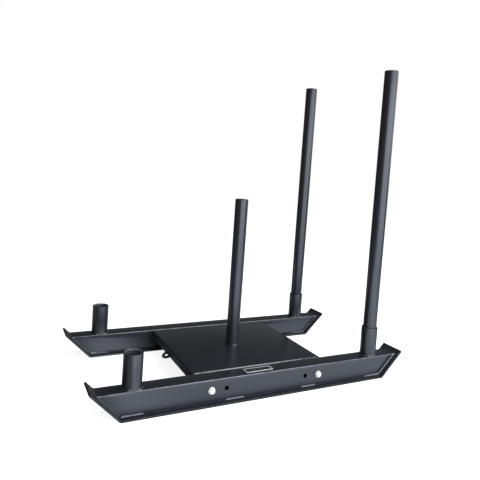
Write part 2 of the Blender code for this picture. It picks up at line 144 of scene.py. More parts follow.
class SledColours(bpy.types.PropertyGroup):
    """Colours of the finishes."""

    paint: colour("Paint", "1c1d21", "Black powder coat")
    paint_light: colour("Paint, lighter", "202126", "Powder coat where it is thicker or dusty")
    # painted highlight: this pale grey stands in for the bright highlight lines along edges and
    # bends, and for wear where the coat rubs thin
    worn_and_highlit: colour("Rubbed paint", "5e6166", "Powder coat rubbed thin along edges and corners")
    scale: colour("Mill scale", "3e4143", "Bare steel inside the tubes")
    # painted highlight: pale steel at a bore's mouth, standing in for the highlight on its far rim
    bright: colour("Rubbed steel", "868b8e", "Steel rubbed by a pole at a sleeve's mouth")
    plastic: colour("Plastic", "2a2b2d", "Moulded black plastic of the caps")
    nylon: colour("Nylon", "d8dde0", "Locking ring of the nuts")
    zinc: colour("Zinc", "efece5", "Bright zinc plating")
    silver: colour("Silver", "d5d7da", "Bare aluminium of the nameplate")
    field: colour("Field", "1b1c1f", "Dark field of the nameplate")
    floor: colour("Floor", "b4b4b4", "Studio floor")


class SledStage(bpy.types.PropertyGroup):
    """Levels of the studio light, and the lens."""

    key_power: number("Key", 187, "Softboxes on the camera's right, both parts", unit="POWER")
    side_power: number("Side", 20, "Softbox behind the sled's rear", unit="POWER")
    overhead_power: number("Overhead", 100, "Softbox above the sled's rear", unit="POWER")
    ambient: number("Ambient", 0.08, "Light from all round", max=1)
    studio_gloss: number("Studio gloss", 0.04, "Level of the studio in gloss", max=1)
    lens: number("Lens", 35.79, "Focal length on a 36 mm sensor, in mm", least=1)


# ---- shapes ----

def piece(name, points, faces, finishes, body=BODY, slot="frame_paint"):
    """A mesh object from a vertex array and a list of faces, riding on a body."""
    mesh = bpy.data.meshes.new(name)
    mesh.from_pydata(np.asarray(points, float).reshape(-1, 3).tolist(), [], faces)
    return seat(name, mesh, finishes, body)


def seat(name, mesh, finishes, body):
    """Closes the mesh, turns its faces outwards, shades it and lets it ride on a body."""
    work = bmesh.new()
    work.from_mesh(mesh)
    bmesh.ops.remove_doubles(work, verts=work.verts, dist=MERGE)
    bmesh.ops.dissolve_degenerate(work, dist=MERGE, edges=work.edges)
    bmesh.ops.recalc_face_normals(work, faces=work.faces)
    work.to_mesh(mesh)
    work.free()
    mesh.shade_smooth()
    mesh.set_sharp_from_angle(angle=SHARP)
    for each in finishes:
        mesh.materials.append(finish(each))
    made = bpy.data.objects.new(name, mesh)
    bpy.context.scene.collection.objects.link(made)
    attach(made, body)
    return made


def repaint(made, index, chosen):
    """Gives the finish of that index to the faces that chosen picks."""
    for face in made.data.polygons:
        if chosen(face):
            face.material_index = index


def grid_faces(rows, columns, wrap_rows=False, capped=False):
    """Quads between the rings of a rows x columns grid of vertices, by array arithmetic on their
    numbers. Capped adds a face on the first ring and one on the last."""
    r = np.arange(rows if wrap_rows else rows - 1)[:, None]
    c = np.arange(columns)[None, :]
    r2, c2 = (r + 1) % rows, (c + 1) % columns
    quads = np.stack([r * columns + c, r * columns + c2, r2 * columns + c2, r2 * columns + c], -1)
    faces = quads.reshape(-1, 4).tolist()
    if capped:
        ring = list(range(columns))
        faces += [ring[::-1], [(rows - 1) * columns + at for at in ring]]
    return faces


def full_turn(steps):
    """Angles of one turn, evenly spread."""
    return np.linspace(0, 2 * np.pi, steps, endpoint=False)


def turned(rings, angle):
    """Rings of a turned shape: ring (r, z) at angle a has the point (r cos a, r sin a, z). Its r
    and z are numbers, or arrays with a value for each angle."""
    return np.stack([np.stack([r * np.cos(angle), r * np.sin(angle), z + 0 * angle], -1)
                     for r, z in rings])


def fillet(profile, radius, closed=True):
    """The profile with each corner replaced by a quadratic curve that starts and ends a radius
    away from it, or 0.45 of the side where that is less: (1-t)^2 A + 2t(1-t) corner + t^2 B."""
    most, steps = 0.45, 4
    points = np.asarray(profile, float)
    ends = []
    for neighbour in (np.roll(points, 1, 0), np.roll(points, -1, 0)):
        side = neighbour - points
        long = np.linalg.norm(side, axis=1, keepdims=True)
        ends.append(points + side / np.maximum(long, 1e-12) * np.minimum(radius, long * most))
    t = np.linspace(0, 1, steps + 1)[None, :, None]
    curve = ((1 - t) ** 2 * ends[0][:, None] + 2 * t * (1 - t) * points[:, None]
             + t ** 2 * ends[1][:, None])
    if not closed:
        return np.concatenate([points[:1], curve[1:-1].reshape(-1, 2), points[-1:]])
    return curve.reshape(-1, 2)


def revolve(name, profile, centre, finishes, closed=True, **how):
    """A piece turned round an upright axis through its centre."""
    angle = full_turn(96)
    return piece(name, turned(profile, angle) + centre,
                 grid_faces(len(profile), len(angle), wrap_rows=closed), finishes, **how)


def tube_profile(outside, inside, bottom, top, rounding):
    """Section of a round tube, (radius, height) round its wall, with rounded rims and a point in
    its bore where the mouth ends, a wall thickness down."""
    mouth = top - outside + inside
    corners = [(outside, bottom), (outside, top), (inside, top), (inside, mouth), (inside, bottom)]
    return fillet(corners, rounding)


def bead(name, path, wall, base, legs, sizes, closed=False, toes=None, knee=(0.3, 0.3), calm=1.0):
    """A weld bead carried along a path.

    At each path point the section runs from the toe on the wall, path + leg * wall, over the
    face to the toe on the base, path + leg * base, and returns behind the root. A leg is a
    number, or an array with one for each point. The face is the curve
    (1-u)^3 wall toe + 3u(1-u) knee + u^3 base toe, with the knee in shares of the two legs:
    under a half of both it is hollow, as of a bead that has wetted both sides, and over it full.
    Ripples of height calm * depth * |sin(pi * (distance / pitch + 0.35 cos(pi u)))| cross it, the
    crescents of a stacked weld. The ends taper as the square root of the distance from the end.
    """
    columns, root_depth = 9, 0.0004
    path, wall, base = (np.broadcast_to(np.asarray(v, float), np.shape(path))
                        for v in (path, wall, base))
    steps = np.linalg.norm(np.diff(path, axis=0), axis=1)
    along = np.concatenate([[0], np.cumsum(steps)])
    lean = np.ones(len(path))
    if not closed:
        taper = 0.8 * max(float(np.max(leg)) for leg in legs)
        lean = np.sqrt(np.clip(np.minimum(along, along[-1] - along) / taper, 0.02, 1))
    u = np.linspace(0, 1, columns)
    crescent = 0.35 * np.cos(np.pi * u)[None]
    crest = np.abs(np.sin(np.pi * (along[:, None] / sizes.ripple_pitch + crescent)))
    bulge = calm * sizes.ripple_depth * crest * np.sin(np.pi * u) * lean[:, None]
    upper, lower = toes or (path + wall * (legs[0] * lean)[:, None],
                            path + base * (legs[1] * lean)[:, None])
    outward = (wall + base) / np.linalg.norm(wall + base, axis=1, keepdims=True)
    corner = path + (upper - path) * knee[0] + (lower - path) * knee[1]
    shares = ((upper, (1 - u) ** 3), (corner, 3 * u * (1 - u)), (lower, u ** 3))
    face = sum(points[:, None] * share[None, :, None] for points, share in shares)
    face = face + outward[:, None] * bulge[:, :, None]
    root = path - outward * root_depth
    points = np.concatenate([face, root[:, None]], 1)
    faces = grid_faces(*points.shape[:2], wrap_rows=closed, capped=not closed)
    return piece(name, points, faces, ["pooled_powder_coat"])


# ---- finishes ----

def add_node(tree, kind, inputs=None, **settings):
    """Adds one node: settings are its attributes; inputs are values or sockets to link from."""
    made = tree.nodes.new(kind)
    for key, value in settings.items():
        setattr(made, key, value)
    for key, value in (inputs or {}).items():
        if isinstance(value, bpy.types.NodeSocket):
            tree.links.new(value, made.inputs[key])
        else:
            made.inputs[key].default_value = value
    return made


def new_finish(name, base, roughness, metallic=0.0):
    """A new material with its Principled shader's plain values; returns its tree and shader too."""
    material = bpy.data.materials.new(name)
    material.use_nodes = True
    shader = material.node_tree.nodes["Principled BSDF"]
    shader.inputs["Base Color"].default_value = (*base, 1)
    shader.inputs["Roughness"].default_value = roughness
    shader.inputs["Metallic"].default_value = metallic
    material.diffuse_color = (*base, 1)
    return material, material.node_tree, shader


def powder_coat(tree, shader, place, base, colours, smooth, rough, shine, worn_and_highlit=False):
    """Polyester powder coat, sprayed and baked on steel: satin black with a fine orange peel.
    The roughness wanders between smooth and rough, shine is the shader's specular level, and a
    worn_and_highlit coat has paler patches, which paint the highlight lines along edges and bends
    as well as wear."""
    shader.inputs["Specular IOR Level"].default_value = shine
    # film thickness wanders over a hand's width, and the tone with it
    cloud = add_node(tree, "ShaderNodeTexNoise", {"Vector": place, "Scale": 1 / 0.09,
                                                  "Detail": 3.0})
    tone = add_node(tree, "ShaderNodeMix", {0: cloud.outputs["Fac"], 6: base,
                                            7: (*colours.paint_light, 1)}, data_type="RGBA")
    if worn_and_highlit:
        # paler patches a finger long, with scuffed borders: wear, and a painted highlight along the
        # edges
        patch = add_node(tree, "ShaderNodeTexNoise", {"Vector": place, "Scale": 1 / 0.025,
                                                      "Detail": 5.0, "Roughness": 0.65})
        share = add_node(tree, "ShaderNodeMapRange", {"Value": patch.outputs["Fac"],
                                                      "From Min": 0.35, "From Max": 0.62})
        tone = add_node(tree, "ShaderNodeMix", {0: share.outputs["Result"], 6: tone.outputs[2],
                                                7: (*colours.worn_and_highlit, 1)}, data_type="RGBA")
    tree.links.new(tone.outputs[2], shader.inputs["Base Color"])
    # the peel's real waves are about 1.5 mm long; drawn at 4 mm so that they show
    peel = add_node(tree, "ShaderNodeTexNoise", {"Vector": place, "Scale": 1 / 0.004,
                                                 "Detail": 1.0})
    gloss = add_node(tree, "ShaderNodeMapRange", {"Value": peel.outputs["Fac"], "From Min": 0.3,
                                                  "From Max": 0.7, "To Min": smooth,
                                                  "To Max": rough})
    tree.links.new(gloss.outputs["Result"], shader.inputs["Roughness"])
    relief = add_node(tree, "ShaderNodeBump", {"Height": peel.outputs["Fac"], "Strength": 0.015,
                                               "Distance": 0.0002})
    tree.links.new(relief.outputs["Normal"], shader.inputs["Normal"])


def bore_steel(tree, shader, place, base, colours):
    """Bare steel in a bore, with grains of overspray or the rests of the coat."""
    dust = add_node(tree, "ShaderNodeTexNoise", {"Vector": place, "Scale": 1 / 0.006,
                                                 "Detail": 4.0})
    tone = add_node(tree, "ShaderNodeMix", {0: dust.outputs["Fac"], 7: base,
                                            6: (*colours.paint_light, 1)}, data_type="RGBA")
    tree.links.new(tone.outputs[2], shader.inputs["Base Color"])


def moulded_plastic(tree, shader, place, base, colours):
    """Injection-moulded polyethylene of the caps: deep black with a spark-eroded grain."""
    grain = add_node(tree, "ShaderNodeTexNoise", {"Vector": place, "Scale": 1 / 0.0012,
                                                  "Detail": 1.0})
    relief = add_node(tree, "ShaderNodeBump", {"Height": grain.outputs["Fac"], "Strength": 0.2,
                                               "Distance": 0.0001})
    tree.links.new(relief.outputs["Normal"], shader.inputs["Normal"])


def zinc_plate(tree, shader, place, base, colours):
    """Bright zinc on rolled steel: pale blue-white, cloudy, with soft reflections."""
    cloud = add_node(tree, "ShaderNodeTexNoise", {"Vector": place, "Scale": 1 / 0.003,
                                                  "Detail": 4.0})
    gloss = add_node(tree, "ShaderNodeMapRange", {"Value": cloud.outputs["Fac"], "To Min": 0.22,
                                                  "To Max": 0.42})
    tree.links.new(gloss.outputs["Result"], shader.inputs["Roughness"])
    # the passivation is patchy: dull grey where it is thin
    dull = [0.5 * part for part in colours.zinc]
    film = add_node(tree, "ShaderNodeMapRange", {"Value": cloud.outputs["Fac"], "From Min": 0.35,
                                                 "From Max": 0.65})
    tone = add_node(tree, "ShaderNodeMix", {0: film.outputs["Result"], 6: (*dull, 1), 7: base},
                    data_type="RGBA")
    tree.links.new(tone.outputs[2], shader.inputs["Base Color"])


def nylon(tree, shader, place, base, colours):
    """Nylon locking ring of a nut: milky white, waxy, with light passing a little way in."""
    shader.inputs["Subsurface Weight"].default_value = 0.2
    shader.inputs["Subsurface Scale"].default_value = 0.001
    milk = add_node(tree, "ShaderNodeTexNoise", {"Vector": place, "Scale": 1 / 0.002,
                                                 "Detail": 2.0})
    gloss = add_node(tree, "ShaderNodeMapRange", {"Value": milk.outputs["Fac"], "To Min": 0.35,
                                                  "To Max": 0.55})
    tree.links.new(gloss.outputs["Result"], shader.inputs["Roughness"])


def brushed_silver(tree, shader, place, base, colours):
    """Aluminium sheet, brushed along its length and clear-anodised."""
    # brush lines run along X: 0.3 mm apart across, 30 mm long
    lines = add_node(tree, "ShaderNodeMapping", {"Vector": place, "Scale": (30, 3000, 3000)})
    brush = add_node(tree, "ShaderNodeTexNoise", {"Vector": lines.outputs["Vector"],
                                                  "Scale": 1.0})
    gloss = add_node(tree, "ShaderNodeMapRange", {"Value": brush.outputs["Fac"], "To Min": 0.42,
                                                  "To Max": 0.6})
    tree.links.new(gloss.outputs["Result"], shader.inputs["Roughness"])


def lacquer(tree, shader, place, base, colours):
    """Black lacquer in the nameplate's field, left blank: a screened coat with faint mottling."""
    mottle = add_node(tree, "ShaderNodeTexNoise", {"Vector": place, "Scale": 1 / 0.003,
                                                   "Detail": 3.0})
    gloss = add_node(tree, "ShaderNodeMapRange", {"Value": mottle.outputs["Fac"], "To Min": 0.3,
                                                  "To Max": 0.45})
    tree.links.new(gloss.outputs["Result"], shader.inputs["Roughness"])
    tone = add_node(tree, "ShaderNodeMix", {0: mottle.outputs["Fac"], 6: base,
                                            7: (*colours.paint_light, 1)}, data_type="RGBA")
    tree.links.new(tone.outputs[2], shader.inputs["Base Color"])


# A finish's nodes, colour, plain roughness and metallic share, then what its nodes are given:
# for powder coat its smooth and rough, its shine and whether it has the pale patches of wear and
# painted highlight
FINISHES = {
    # flat steel
    "satin_powder_coat": (powder_coat, "paint", 0.23, 0, 0.21, 0.25, 0.5),
    # round tubes, where turning in the spray leaves the coat a little softer
    "soft_satin_powder_coat": (powder_coat, "paint", 0.3, 0, 0.28, 0.32, 0.5),
    # bends and edges, where the coat is thin and things rub along it; its pale patches also paint
    # the edges' highlight lines
    "edge_wear_and_highlight_powder_coat": (powder_coat, "paint", 0.22, 0, 0.18, 0.26, 0.6, True),
    # welds, where the coat has pooled: thicker and glossier
    "pooled_powder_coat": (powder_coat, "paint", 0.165, 0, 0.13, 0.2, 0.65),
    # skids, lips and loop, dulled by grit and straps: rougher, with less shine
    "grit_dulled_powder_coat": (powder_coat, "paint", 0.625, 0, 0.55, 0.7, 0.1),
    # inside of a tube: grey mill scale that the powder reached only as overspray
    "oversprayed_mill_scale": (bore_steel, "scale", 0.5, 0),
    # a bore's mouth: a pale band of steel that paints the highlight on the far rim
    "bore_mouth_painted_highlight": (bore_steel, "bright", 0.5, 0),
    "moulded_polyethylene": (moulded_plastic, "plastic", 0.42, 0),
    "bright_zinc_plate": (zinc_plate, "zinc", 0.3, 1),
    "nylon_ring": (nylon, "nylon", 0.45, 0),
    "brushed_aluminium": (brushed_silver, "silver", 0.5, 0.7),
    "black_lacquer_field": (lacquer, "field", 0.35, 0),
}


def finish(name):
    """The material of that name, made when it is first asked for."""
    found = bpy.data.materials.get(name)
    if found:
        return found
    dress, shade, roughness, metallic, *settings = FINISHES[name]
    colours = bpy.context.scene.sled_colours
    base = getattr(colours, shade)
    material, tree, shader = new_finish(name, base, roughness, metallic)
    # patterns are measured in the piece's own metres
    place = add_node(tree, "ShaderNodeTexCoord").outputs["Object"]
    dress(tree, shader, place, (*base, 1), colours, *settings)
    return material


# ---- pieces ----

def dressed_copy(node, name, sizes, bends=True, dulled=None):
    """A CAD node's own shape, merged, with cut edges rounded as paint and deburring leave them.
    Its long bends and rounded edges get pale patches, of wear and of painted highlight, and the
    faces that dulled picks are dull with grit."""
    work = bmesh.new()
    work.from_mesh(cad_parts[node].data)
    bmesh.ops.remove_doubles(work, verts=work.verts, dist=MERGE)
    bmesh.ops.dissolve_limit(work, angle_limit=math.radians(0.5), verts=work.verts,
                             edges=work.edges)
    mesh = bpy.data.meshes.new(name)
    work.to_mesh(mesh)
    work.free()
    made = seat(name, mesh, ["satin_powder_coat", "edge_wear_and_highlight_powder_coat"], BODY)
    if bends:
        # faces that lean to a side, on a piece whose sheets all stand square: the bends, which get
        # the pale patches of wear and painted highlight
        repaint(made, 1, lambda face: abs(face.normal.x) < 0.1 < abs(face.normal.z) < 0.995)
    if dulled:
        mesh.materials.append(finish("grit_dulled_powder_coat"))
        repaint(made, 2, dulled)
    edge = made.modifiers.new("Edge", "BEVEL")
    # the rounded edges get the coat with the pale patches of wear and painted highlight too
    edge.material = 1
    edge.width = sizes.edge_round
    edge.segments = 2
    edge.limit_method = "ANGLE"
    edge.angle_limit = math.radians(40)
    edge.harden_normals = True
    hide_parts(node)
    return made


class SLED_OT_runners(bpy.types.Operator):
    """Runner tubes and bent skid plates in powder coat"""

    bl_idname = "sled.runners"
    bl_label = "Runners"

    def execute(self, context):
        sizes = context.scene.sled_sizes
        for side_name, side in SIDES.items():
            tube = dressed_copy(f"{side_name}_runner_tube", f"{side_name}_runner", sizes)
            self.tighten(tube.data, side, sizes)
            # grit lies on the upper faces, flat and upturned
            dressed_copy(f"{side_name}_skid_plate", f"{side_name}_skid", sizes, bends=False,
                         dulled=lambda face: face.normal.z > 0.6)
        return {"FINISHED"}

    def tighten(self, mesh, side, sizes):
        """Draws the tube's outer corner arcs out from the frame's radius to a tighter one: a point
        at angle t on the old arc, centre + old (cos t, sin t), goes to the same angle on the new
        arc, whose centre lies nearer to the corner. At the mitred ends x follows z."""
        points = np.empty(len(mesh.vertices) * 3)
        mesh.vertices.foreach_get("co", points)
        points = points.reshape(-1, 3)
        half = np.array([TUBE_HALF, (TUBE_TOP_Z - TUBE_BASE_Z) / 2])
        off = points[:, 1:] - np.array([side * RUNNER_Y, (TUBE_TOP_Z + TUBE_BASE_Z) / 2])
        spoke = np.abs(off) - (half - sizes.tube_corner)
        reach = np.linalg.norm(spoke, axis=1)
        slack = 2e-4
        on_arc = (spoke > -MERGE).all(1) & (np.abs(reach - sizes.tube_corner) < slack)
        tight = half - sizes.tube_edge + spoke / np.maximum(reach, 1e-9)[:, None] * sizes.tube_edge
        moved = np.where(on_arc[:, None], np.sign(off) * (tight - np.abs(off)), 0)
        points[:, 1:] += moved
        points[:, 0] += np.sign(points[:, 0]) * moved[:, 1]
        mesh.vertices.foreach_set("co", points.ravel())
        mesh.update()


class SLED_OT_deck(bpy.types.Operator):
    """Folded deck in powder coat"""

    bl_idname = "sled.deck"
    bl_label = "Deck"

    def execute(self, context):
        # straps and plates rub against the lips
        dressed_copy("deck", "deck_tray", context.scene.sled_sizes,
                     dulled=lambda face: abs(face.normal.x) > 0.5)
        return {"FINISHED"}


class SLED_OT_uprights(bpy.types.Operator):
    """Sleeves, push poles and weight horn as turned tubes"""

    bl_idname = "sled.uprights"
    bl_label = "Uprights"

    def execute(self, context):
        sizes = context.scene.sled_sizes
        kinds = [(f"{spot}_sleeve", sizes.sleeve_wall, BODY) for spot in CORNERS]
        kinds += [(f"{side}_push_pole", sizes.pole_wall, POLE_BODY[side]) for side in SIDES]
        kinds += [("weight_horn", sizes.horn_wall, BODY)]
        for node, wall, body in kinds:
            centre, size = size_of(node)
            outside, top = size[0] / 2, size[2] / 2
            made = revolve(f"{node}_tube",
                           tube_profile(outside, outside - wall, -top, top, sizes.edge_round),
                           centre, ["soft_satin_powder_coat", "oversprayed_mill_scale",
                                    "bore_mouth_painted_highlight"], body=body)
            # the bore lies deep in the wall, and its mouth is the last of it, pale with a painted
            # highlight
            depth = 0.8 * wall
            for face in made.data.polygons:
                x, y, z = face.center - Vector(centre)
                if math.hypot(x, y) < outside - depth:
                    face.material_index = 2 if z > top - depth else 1
            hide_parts(node)
        return {"FINISHED"}


class SLED_OT_caps(bpy.types.Operator):
    """Ribbed plastic caps with a low dome"""

    bl_idname = "sled.caps"
    bl_label = "Caps"

    def execute(self, context):
        sizes = context.scene.sled_sizes
        homes = {f"{side}_pole_cap": (f"{side}_push_pole", sizes.pole_wall, POLE_BODY[side])
                 for side in SIDES}
        homes["horn_cap"] = ("weight_horn", sizes.horn_wall, BODY)
        gap, rounding, skirt_wall = 0.0003, 0.0003, 0.002
        for node, (tube, wall, body) in homes.items():
            centre, size = size_of(node)
            head, crown, foot = size[0] / 2, size[2] / 2, -size[2] / 2
            # the cap's rim lies on the end of its tube
            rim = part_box(tube)[1][2] - centre[2] + gap
            edge = rim + sizes.cap_rim
            skirt = head - wall - gap - sizes.cap_rib
            hollow = skirt - skirt_wall
            # the dome's height is its rise times (1 - (r / head)^2)^0.65, steep at the shoulder
            radii = head * np.sin(np.linspace(0, np.pi / 2, 20))
            dome = edge + (crown - edge) * (1 - (radii / head) ** 2) ** 0.65
            ribs = []
            for level in (0.3, 0.7):
                z = rim + (foot - rim) * level
                ribs += [(skirt, z + sizes.cap_rib), (skirt + sizes.cap_rib, z),
                         (skirt, z - sizes.cap_rib)]
            outline = fillet([(head, edge), (head, rim), (skirt, rim)], rounding, closed=False)
            profile = [*zip(radii[:-1], dome[:-1]), *outline, *ribs, (skirt, foot), (hollow, foot),
                       (hollow, rim), (0, rim)]
            made = revolve(f"{node}_plug", profile, centre, ["moulded_polyethylene"],
                           closed=False, body=body, slot="cap_plastic")
            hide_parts(node)
        return {"FINISHED"}


class SLED_OT_tow_loop(bpy.types.Operator):
    """Bent-bar tow loop on the deck's lip"""

    bl_idname = "sled.tow_loop"
    bl_label = "Tow loop"

    def execute(self, context):
        centre, size = size_of("tow_loop")
        bar = context.scene.sled_sizes.loop_bar / 2
        radius = size[1] / 2 - bar
        # the half ring's plane droops: its rise over its reach, measured between bar centres
        droop = math.asin(min(1.0, (size[2] - 2 * bar) / radius))
        start = np.array([centre[0] - size[0] / 2, centre[1], centre[2] + size[2] / 2 - bar])
        a = np.linspace(-np.pi / 2, np.pi / 2, 41)
        outward = np.stack([np.cos(a) * math.cos(droop), np.sin(a),
                            -np.cos(a) * math.sin(droop)], -1)
        upright = np.array([math.sin(droop), 0, math.cos(droop)])
        turn = full_turn(20)[None, :, None]
        points = ((start + radius * outward)[:, None] + bar * np.cos(turn) * outward[:, None]
                  + bar * np.sin(turn) * upright)
        made = piece("tow_loop_bar", points, grid_faces(*points.shape[:2], capped=True),
                     ["grit_dulled_powder_coat"])
        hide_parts("tow_loop")
        return {"FINISHED"}


def hexagon(angle):
    """A hexagon's radius at each angle, half the flats over the cosine to the nearest flat, with
    the radius of the circle that its 30 degree chamfer leaves and the chamfer's drop."""
    side = FLATS / 2 / np.cos((angle + np.pi / 6) % (np.pi / 3) - np.pi / 6)
    circle = 0.95 * FLATS / 2
    return side, circle, (side - circle) * math.tan(math.pi / 6)


def along_y(points, centre, facing):
    """Stands a shape worked out along Z on the Y axis, its top towards facing."""
    x, y, z = points[..., 0], points[..., 1], points[..., 2]
    return np.stack([x * facing, z * facing, y], -1) + np.asarray(centre)


class SLED_OT_fasteners(bpy.types.Operator):
    """Hexagon bolts, washers and locking nuts in bright zinc"""

    bl_idname = "sled.fasteners"
    bl_label = "Fasteners"

    def execute(self, context):
        angle = full_turn(72)
        for spot, (side, _) in CORNERS.items():
            self.bolt(spot, side, angle, context.scene.sled_sizes.thread_pitch)
            self.washer(f"{spot}_bolt_washer", side, angle)
            self.washer(f"{spot}_nut_washer", side, angle)
            self.nut(spot, side, angle)
        return {"FINISHED"}

    def bolt(self, spot, side, angle, pitch):
        """Rings of the bolt from its head's crown to its tip, those near the tip cut by the
        thread: the radius falls by depth * (1 - |2 frac(height / pitch + angle / turn) - 1|)."""
        centre, size = size_of(f"{spot}_bolt")
        head, threaded, steps = 0.0075, 0.032, 6
        tip = head - size[1]
        corner, circle, drop = hexagon(angle)
        rings = [(0, head), (circle * 0.5, head), (circle * 0.97, head), (circle, head - 0.0001),
                 (corner * 0.995, head - 0.0001 - drop), (corner, head - 0.0006 - drop),
                 (corner, 0.0004), (corner * 0.98, 0), (SHANK, 0), (SHANK, tip + threaded)]
        for z in np.arange(tip + threaded, tip + 0.0012, -pitch / steps):
            phase = (z / pitch + angle / (2 * np.pi)) % 1
            rings.append((SHANK - THREAD_DEPTH * (1 - np.abs(2 * phase - 1)), z))
        rings += [(SHANK - 0.0012, tip + 0.0006), (SHANK - 0.0018, tip), (0, tip)]
        seat_y = (centre[1] + side * size[1] / 2) - side * head
        points = along_y(turned(rings, angle), (centre[0], seat_y, centre[2]), side)
        made = piece(f"{spot}_hex_bolt", points, grid_faces(len(rings), len(angle)),
                     ["bright_zinc_plate"], slot="zinc")
        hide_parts(f"{spot}_bolt")

    def washer(self, node, side, angle):
        """Pressed washer: a flat ring with its edges rounded by the punch."""
        centre, size = size_of(node)
        outside, inside, half = size[0] / 2, 0.0065, size[1] / 2
        profile = fillet([(outside, -half), (outside, half), (inside, half), (inside, -half)],
                         0.0005)
        made = piece(f"{node}_ring", along_y(turned(profile, angle), centre, side),
                     grid_faces(len(profile), len(angle), wrap_rows=True),
                     ["bright_zinc_plate"], slot="zinc")
        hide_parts(node)

    def nut(self, spot, side, angle):
        """Rings of the nut from its seat over the hexagon and the crimped collar and back down the
        bore as far as the nylon goes."""
        centre, size = size_of(f"{spot}_nut")
        height = size[1]
        shoulder, collar, bore, nylon_depth = height - 0.003, 0.0079, 0.0063, 0.0028
        corner, circle, drop = hexagon(angle)
        rings = [(bore, 0), (corner * 0.98, 0), (corner, 0.0004),
                 (corner, shoulder - drop - 0.0004), (corner * 0.995, shoulder - drop),
                 (circle, shoulder), (collar, shoulder + 0.0003), (collar, height - 0.001),
                 (collar - 0.0004, height - 0.0003), (collar - 0.0011, height), (bore, height),
                 (bore, height - nylon_depth)]
        seat_y = centre[1] + side * height / 2
        points = along_y(turned(rings, angle), (centre[0], seat_y, centre[2]), -side)
        made = piece(f"{spot}_lock_nut", points, grid_faces(len(rings), len(angle), wrap_rows=True),
                     ["bright_zinc_plate", "nylon_ring"], slot="zinc")
        # the nylon lies inside the crimped collar: the end face and the last of the bore
        repaint(made, 1, lambda face: abs(face.center.y - seat_y) > height - nylon_depth and
                math.hypot(face.center.x - centre[0], face.center.z - centre[2]) < collar - 0.001)
        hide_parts(f"{spot}_nut")


class SLED_OT_nameplate(bpy.types.Operator):
    """Blank nameplate with a bright rim round a dark field"""

    bl_idname = "sled.nameplate"
    bl_label = "Nameplate"

    def execute(self, context):
        sizes = context.scene.sled_sizes
        centre, size = size_of("nameplate")
        half, thick = size[:2] / 2, size[2]
        corner, sharpest, bow, rim = 0.003, 0.0006, 0.0002, sizes.plate_rim
        a = full_turn(64) + np.pi / 64
        points = []
        for inset, z in ((0, 0), (0, thick - bow), (bow, thick), (rim, thick),
                         (rim, thick - sizes.plate_recess)):
            # rounded rectangle: the corner centres pushed out by the corner radius
            radius = max(corner - inset, sharpest)
            reach = half - inset - radius
            x = np.sign(np.cos(a)) * reach[0] + radius * np.cos(a)
            y = np.sign(np.sin(a)) * reach[1] + radius * np.sin(a)
            points.append(np.stack([x, y, np.full_like(a, z - thick / 2)], -1))
        made = piece("nameplate_blank", np.stack(points) + centre,
                     grid_faces(len(points), len(a), capped=True),
                     ["brushed_aluminium", "black_lacquer_field"], slot="plate_metal")
        made.data.polygons[len(made.data.polygons) - 1].material_index = 1
        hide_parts("nameplate")
        return {"FINISHED"}


